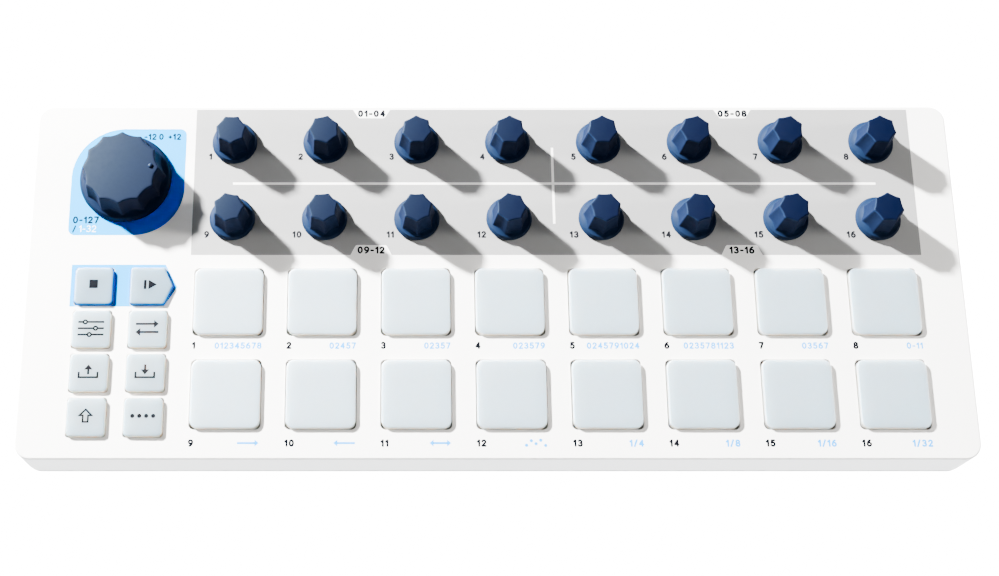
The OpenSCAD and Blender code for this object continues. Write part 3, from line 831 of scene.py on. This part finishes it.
outer = [(PX0, PY0)]
for x in TABS:
    outer += tab_front(x + 0.4)
outer += [(PX1, PY0), (PX1, PY1)]
for x in reversed(TABS):
    outer += tab_rear(x + 0.3)
outer += [(PX0, PY1)]
LW = 0.42
cross = [(-86.3, 32.3 - LW), (20.0 - LW, 32.3 - LW), (20.0 - LW, 18.2), (20.0 + LW, 18.2), (20.0 + LW, 32.3 - LW),
         (127.1, 32.3 - LW), (127.1, 32.3 + LW), (20.0 + LW, 32.3 + LW), (20.0 + LW, 45.1), (20.0 - LW, 45.1),
         (20.0 - LW, 32.3 + LW), (-86.3, 32.3 + LW)]
flat("panel_print", [(outer, [circ(4.25, 40, knob_x(c), y) for c in range(8) for y in KNOB_Y] + [cross])], GREY)

# leaf behind the dial and the arrow band behind stop and play
LX0, LX1, LY0, LY1 = -139.95, -102.3, 14.25, 51.75
leaf = round_poly([(LX0, LY0), (LX1, LY0), (LX1, LY1), (LX0, LY1)], [2.2, 16.5, 2.2, 17.5], 24)
leaf_ob = flat("dial_print", [(leaf, [circ(4.25, 40, *DIAL)])], AZURE)
band = [(-137.9, -10.1), (-107.3, -10.1), (-103.25, -3.6), (-107.3, 4.05), (-137.9, 4.05)]
hole_stop = rrect(BTN_W + 2 * GAP + 0.22, BTN_W + 2 * GAP + 0.22, BTN_SLOT_R + 0.11, 6, *BTN_AT[0])
band_ob = flat("transport_print", [(band, [hole_stop, arrow_outline(GAP + 0.11, 0.9)])], AZURE)


# ---- plain numbers, each a stroke of even width
def bow(cx, cy, rx, ry, a0, a1, n):
    """Points along an ellipse, degrees."""
    out = []
    for i in range(n + 1):
        t = math.radians(a0 + (a1 - a0) * i / n)
        out.append((cx + rx * math.cos(t), cy + ry * math.sin(t)))
    return out


SIX = [bow(0.30, 0.30, 0.30, 0.30, 0, 360, 24), bow(0.52, 0.30, 0.52, 0.70, 180, 97, 10)]
DIGITS = {
    "0": (0.60, [bow(0.30, 0.50, 0.30, 0.50, 0, 360, 30)]),
    "1": (0.26, [[(0.0, 0.76), (0.26, 1.0), (0.26, 0.0)]]),
    "2": (0.58, [bow(0.29, 0.72, 0.27, 0.28, 165, -28, 14) + [(0.0, 0.0), (0.58, 0.0)]]),
    "3": (0.57, [bow(0.27, 0.76, 0.25, 0.24, 150, -90, 12), bow(0.27, 0.26, 0.30, 0.26, 90, -150, 14)]),
    "4": (0.62, [[(0.46, 0.0), (0.46, 1.0), (0.0, 0.29), (0.62, 0.29)]]),
    "5": (0.59, [[(0.54, 1.0), (0.11, 1.0), (0.07, 0.54)] + bow(0.28, 0.31, 0.31, 0.31, 125, -150, 14)]),
    "6": (0.60, SIX),
    "7": (0.58, [[(0.0, 1.0), (0.58, 1.0), (0.20, 0.0)]]),
    "8": (0.60, [bow(0.30, 0.76, 0.25, 0.24, 0, 360, 22), bow(0.30, 0.26, 0.30, 0.26, 0, 360, 24)]),
    "9": (0.60, [[(0.60 - x, 1.0 - y) for x, y in ln] for ln in SIX]),
    "/": (0.40, [[(0.0, -0.04), (0.40, 1.04)]]),
    "-": (0.34, [[(0.0, 0.43), (0.34, 0.43)]]),
    "+": (0.44, [[(0.0, 0.43), (0.44, 0.43)], [(0.22, 0.21), (0.22, 0.65)]]),
}


def area2(lp):
    return sum(lp[i - 1][0] * lp[i][1] - lp[i][0] * lp[i - 1][1] for i in range(len(lp)))


def holds(lp, q):
    """Whether a closed outline goes round the point q."""
    odd = False
    for i in range(len(lp)):
        (x0, y0), (x1, y1) = lp[i - 1], lp[i]
        if (y0 > q[1]) != (y1 > q[1]) and q[0] < x0 + (q[1] - y0) * (x1 - x0) / (y1 - y0):
            odd = not odd
    return odd


def stroke_shapes(lines, half):
    """Clean outlines, with their holes, of all points nearer than half to any of the lines."""
    segs = [(p, q) for ln in lines for p, q in zip(ln, ln[1:])]
    xs, ys = [p[0] for ln in lines for p in ln], [p[1] for ln in lines for p in ln]
    g = half * 0.36
    x0, y0 = min(xs) - half - 1.7 * g, min(ys) - half - 1.6 * g
    nx, ny = int((max(xs) - x0 + half) / g) + 3, int((max(ys) - y0 + half) / g) + 3

    def far(x, y):
        best = 1e9
        for (ax, ay), (bx, by) in segs:
            dx, dy = bx - ax, by - ay
            t = max(0.0, min(1.0, ((x - ax) * dx + (y - ay) * dy) / (dx * dx + dy * dy)))
            best = min(best, math.hypot(x - ax - t * dx, y - ay - t * dy))
        return best - half

    f = {(i, j): far(x0 + i * g, y0 + j * g) for i in range(nx + 1) for j in range(ny + 1)}
    at, after = {}, {}

    def crossing(p, q):
        key = (min(p, q), max(p, q))
        t = f[key[0]] / (f[key[0]] - f[key[1]])
        at[key] = (x0 + g * (key[0][0] + t * (key[1][0] - key[0][0])),
                   y0 + g * (key[0][1] + t * (key[1][1] - key[0][1])))
        return key

    for i in range(nx):
        for j in range(ny):
            c = [(i, j), (i + 1, j), (i + 1, j + 1), (i, j + 1)]
            s_in = [f[q] < 0 for q in c]
            outs = [e for e in range(4) if s_in[e] and not s_in[(e + 1) % 4]]
            ins = [e for e in range(4) if not s_in[e] and s_in[(e + 1) % 4]]
            for e in outs:
                b_e = ins[0] if len(ins) == 1 else (e - 1) % 4
                after[crossing(c[e], c[(e + 1) % 4])] = crossing(c[b_e], c[(b_e + 1) % 4])
    loops = []
    while after:
        first = min(after)
        k, lp = first, []
        while k in after:
            lp.append(at[k])
            k = after.pop(k)
        keep = []
        for i, q in enumerate(lp):
            a, b = (keep[-1] if keep else lp[-1]), lp[(i + 1) % len(lp)]
            d = math.hypot(b[0] - a[0], b[1] - a[1])
            if d < 1e-9 or abs((b[0] - a[0]) * (q[1] - a[1]) - (b[1] - a[1]) * (q[0] - a[0])) / d > 0.006:
                keep.append(q)
        loops.append(keep)
    outers = [lp for lp in loops if area2(lp) > 0]
    return [(o, [h for h in loops if area2(h) < 0 and holds(o, h[0])]) for o in outers]


KNOWN = {}


def digits(text, x, y, h, half, align):
    """Flat shapes of a number that stands on y; h is its whole height."""
    k, gap = h - 2 * half, 2 * half + 0.15 * h
    width = sum(DIGITS[c][0] for c in text) * k + (len(text) - 1) * gap
    at = {"LEFT": x + half, "RIGHT": x - width - half, "CENTER": x - width / 2}[align]
    out = []
    for c in text:
        if (c, h, half) not in KNOWN:
            KNOWN[c, h, half] = stroke_shapes([[(u * k, v * k) for u, v in ln] for ln in DIGITS[c][1]], half)
        out += moved(KNOWN[c, h, half], at, y + half)
        at += DIGITS[c][0] * k + gap
    return out


NUM_Y = (40.7, 13.3)
flat("knob_numbers", [q for i in range(16) for q in digits(str(i + 1), col_x(i % 8) - 7.35, NUM_Y[i // 8], 2.35, 0.275, "RIGHT")],
     MARK, over=INK + 0.02)
flat("pad_numbers", [q for i in range(16) for q in digits(str(i + 1), col_x(i % 8) - 11.5, PAD_Y[i // 8] - (15.75, 16.9)[i // 8],
                                                          2.4, 0.31, "LEFT")], SLATE)
flat("tab_numbers", digits("01-04", TABS[0] + 0.3, PY1 - 2.65, 2.5, 0.325, "CENTER")
     + digits("05-08", TABS[1] + 0.3, PY1 - 2.65, 2.5, 0.325, "CENTER")
     + digits("09-12", TABS[0] + 0.4, PY0 + 0.45, 2.5, 0.27, "CENTER")
     + digits("13-16", TABS[1] + 0.4, PY0 + 0.45, 2.5, 0.27, "CENTER"), SLATE)
flat("rate_numbers", [q for k, t in enumerate(("1/4", "1/8", "1/16", "1/32"))
                      for q in digits(t, col_x(4 + k) + 10.9, PAD_Y[1] - 16.9, 2.35, 0.27, "RIGHT")], SKY)


# ---- plain numbers below the rear pads, and arrows for the order of play below the front ones
def arrow_mark(x0, x1, y, w=0.5, head=1.1, both=False, flip=False):
    if flip:
        x0, x1 = x1, x0
    s = 1 if x1 > x0 else -1
    tip = [(x1, y), (x1 - s * head, y + head * 0.85), (x1 - s * head, y - head * 0.85)]
    out = [(tip if s < 0 else tip[::-1], [])]
    a, b = min(x0, x1 - s * head * 0.9), max(x0, x1 - s * head * 0.9)
    if both:
        t2 = [(x0, y), (x0 + s * head, y - head * 0.85), (x0 + s * head, y + head * 0.85)]
        out.append((t2 if s < 0 else t2[::-1], []))
        a, b = (a + head * 0.9, b) if s > 0 else (a, b - head * 0.9)
    out.append(block(a, y - w / 2, b, y + w / 2))
    return out


marks = []
for i, t in enumerate(("012345678", "02457", "02357", "023579", "0245791024", "0235781123", "03567", "0-11")):
    marks += digits(t, col_x(i) + 10.9, PAD_Y[0] - 15.7, 2.15, 0.22, "RIGHT")
ym = PAD_Y[1] - 15.7
for i, kw in enumerate(({}, {"flip": True}, {"both": True})):
    r = col_x(i) + 10.8
    marks += arrow_mark(r - 6.8, r, ym, 0.62, 1.25, **kw)
r = col_x(3) + 10.8
for dx, dy in ((-6.6, -0.7), (-5.1, 0.75), (-3.6, -0.2), (-2.1, 0.9), (-0.6, -0.75)):
    marks.append((circ(0.52, 16, r + dx, ym + dy), []))
flat("pad_marks", marks, SKY)

# ---- plain ranges of numbers on the leaf
flat("dial_numbers", digits("-12", -116.5, 47.9, 2.2, 0.22, "LEFT") + digits("0", -110.8, 47.9, 2.2, 0.22, "CENTER")
     + digits("+12", -104.2, 47.9, 2.2, 0.22, "RIGHT")
     + digits("0-127", -138.6, 18.3, 2.45, 0.25, "LEFT") + digits("/", -138.6, 15.2, 2.3, 0.22, "LEFT"), SLATE, over=INK + 0.02)
flat("dial_numbers_white", digits("1-32", -136.4, 15.3, 2.3, 0.13, "LEFT"), PALE, over=INK + 0.02)

# ---- marks on the buttons, each on its own button's top
BT = DZ + BTN_UP


def button_mark(nm, polys):
    x, y = BTN_AT[BTN_NAME.index(nm)] if nm in BTN_NAME else (BXR, BTN_Y[0])
    flat("mark_" + nm, moved(polys, x, y), MARK if nm.startswith("mode") else SLATE, nm, BT, 0.06, 0.015)


button_mark("stop_button", [block(-1.4, -0.85, 1.4, 1.95)])
button_mark("play_button", [block(-1.75, -1.2, -0.95, 1.85), ([(-0.25, -1.25), (2.45, 0.33), (-0.25, 1.9)], [])])
sl = []
for k, p in enumerate((-1.9, 1.5, -0.4)):
    yy = 2.25 - 2.1 * k
    sl += [block(-4.2, yy - 0.30, p - 0.8, yy + 0.30), block(p + 0.8, yy - 0.30, 4.2, yy + 0.30),
           (circ(0.86, 24, p, yy), [circ(0.32, 16, p, yy)])]
button_mark("mode_button_1", sl)
button_mark("mode_button_2", arrow_mark(-3.7, 3.7, 1.6, 0.66, 1.55) + arrow_mark(-3.7, 3.7, -1.1, 0.66, 1.55, flip=True))
tray = [block(-3.3, -1.9, 3.3, -1.28), block(-3.3, -1.28, -2.68, 0.2), block(2.68, -1.28, 3.3, 0.2)]
up = [block(-0.33, -0.65, 0.33, 1.2), ([(-1.35, 0.95), (1.35, 0.95), (0.0, 2.6)], [])]
down = [block(-0.33, 0.75, 0.33, 2.6), ([(-1.35, 0.95), (0.0, -0.7), (1.35, 0.95)], [])]
button_mark("mode_button_3", tray + up)
button_mark("mode_button_4", tray + down)
button_mark("mode_button_5", [([(-1.1, -1.9), (1.1, -1.9), (1.1, 0.2), (2.55, 0.2), (0.0, 2.8), (-2.55, 0.2), (-1.1, 0.2)],
                               [[(-0.55, -1.35), (-0.55, 0.72), (-1.24, 0.72), (0.0, 1.98), (1.24, 0.72), (0.55, 0.72),
                                 (0.55, -1.35)]])])
button_mark("mode_button_6", [(circ(0.68, 20, -3.3 + 2.2 * k, 0.3), []) for k in range(4)])

# ---------------------------------------------------------------- carried-over CAD nodes
for node, mat in (("main_board", GREEN), ("step_encoders", BLACK), ("dial_encoder", BLACK),
                  ("encoder_bushes", BRASS), ("light_frame", BLACK), ("pad_sensor_sheet", AMBER),
                  ("pad_leds", LENS), ("button_switches", BLACK), ("button_leds", LENS),
                  ("board_chips", CHIP), ("board_screws", ZINC)):
    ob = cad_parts[node]
    if not ob.material_slots:
        ob.data.materials.append(mat)
    for s in ob.material_slots:
        s.material = mat


# ---------------------------------------------------------------- floor, light, camera
def build_floor():
    bm = bmesh.new()
    s = 4000.0
    cap(bm, ring(bm, [(-s, -s), (s, -s), (s, s), (-s, s)], 0.0))
    return make_mesh("floor_mesh", bm, [moulded("floor_paper", (0.86, 0.86, 0.86), 0.8, 0.05, 0.006, 3.0, 400.0,
                                                0.03, 1e-5, spec=0.2)])


floor = bpy.data.objects.new("floor", build_floor())
bpy.context.scene.collection.objects.link(floor)

scene = bpy.context.scene


floor.visible_diffuse = False
floor.visible_glossy = False


def lamp(name, kind, at, energy, rgb, **more):
    """A light at a place in metres, turned towards the deck."""
    li = bpy.data.lights.new(name, kind)
    li.energy = energy
    li.color = rgb
    for k, v in more.items():
        setattr(li, k, v)
    ob = bpy.data.objects.new(name, li)
    ob.data.cycles.use_multiple_importance_sampling = False
    scene.collection.objects.link(ob)
    ob.location = at
    ob.rotation_euler = (Vector(at) - Vector((0, 0, DZ * MM))).to_track_quat("Z", "Y").to_euler()
    return ob


key = lamp("key", "POINT", (-1.06, 0.85, DZ * MM + 0.71), 1050.0, (1.0, 0.985, 0.96), shadow_soft_size=0.052)
soft = lamp("soft_box", "AREA", (-1.25, 1.0, DZ * MM + 0.85), 8.0, (0.97, 0.985, 1.0), shape="RECTANGLE",
            size=1.4, size_y=0.8)
above = lamp("overhead", "AREA", (0.2, 0.0, DZ * MM + 1.8), 17.0, (1.0, 0.985, 0.965), shape="SQUARE", size=3.0)
above.visible_glossy = False
bounce = lamp("reflector", "AREA", (1.42, -0.03, DZ * MM + 0.46), 35.0, (1.0, 0.965, 0.92), shape="RECTANGLE",
              size=0.24, size_y=0.9)
wash = lamp("floor_wash", "SUN", (0.0, 0.0, 2.0), 36.0, (1, 1, 1), angle=math.radians(1.0))
on_floor = bpy.data.collections.new("lit_floor")
on_floor.objects.link(floor)
wash.light_linking.receiver_collection = on_floor
off_floor = bpy.data.collections.new("unlit_floor")
off_floor.objects.link(floor)
off_floor.collection_objects[0].light_linking.link_state = "EXCLUDE"
key.light_linking.receiver_collection = off_floor
soft.light_linking.receiver_collection = off_floor
off_prints = bpy.data.collections.new("unlit_prints")
on_prints = bpy.data.collections.new("lit_prints")
off_knobs = bpy.data.collections.new("unlit_knobs")
for ob in (floor, leaf_ob, band_ob):
    off_prints.objects.link(ob)
    off_knobs.objects.link(ob)
for ob in knob_obs:
    off_knobs.objects.link(ob)
for link in (*off_prints.collection_objects, *off_knobs.collection_objects):
    link.light_linking.link_state = "EXCLUDE"
for ob in (leaf_ob, band_ob):
    on_prints.objects.link(ob)
above.light_linking.receiver_collection = off_prints
bounce.light_linking.receiver_collection = off_knobs
shade = lamp("print_shade", "SUN", (0.6, -0.3, 1.5), 1.0, (0.0, 0.03, 1.0), angle=math.radians(20.0), use_shadow=False)
shade.light_linking.receiver_collection = on_prints

# dim room above, bright paper below
world = bpy.data.worlds.new("studio")
scene.world = world
world.use_nodes = True
wt = world.node_tree
bg = wt.nodes["Background"]
bg.inputs["Color"].default_value = (0.97, 0.985, 1.0, 1.0)
wc = wt.nodes.new("ShaderNodeTexCoord")
ws = wt.nodes.new("ShaderNodeSeparateXYZ")
wt.links.new(wc.outputs["Generated"], ws.inputs["Vector"])
wt.links.new(remap(wt, ws.outputs["Z"], -0.08, 0.02, 4.7, 0.06), bg.inputs["Strength"])

cam = bpy.data.cameras.new("camera")
cam.sensor_fit = "HORIZONTAL"
cam.sensor_width = 36.0
cam.lens = 36.0 * 1463.0 / 999.0
cam.shift_x = (499.5 - 400.0) / 999.0
cam.clip_start, cam.clip_end = 0.01, 50.0
cam_ob = bpy.data.objects.new("camera", cam)
scene.collection.objects.link(cam_ob)
cam_ob.location = (-0.0308, -0.13895, DZ * MM + 0.456)
cam_ob.rotation_euler = (math.radians(16.5), 0.0, 0.0)
scene.camera = cam_ob
scene.view_settings.view_transform = "AgX"
scene.view_settings.look = "AgX - Medium High Contrast"
scene.view_settings.exposure = 0.0
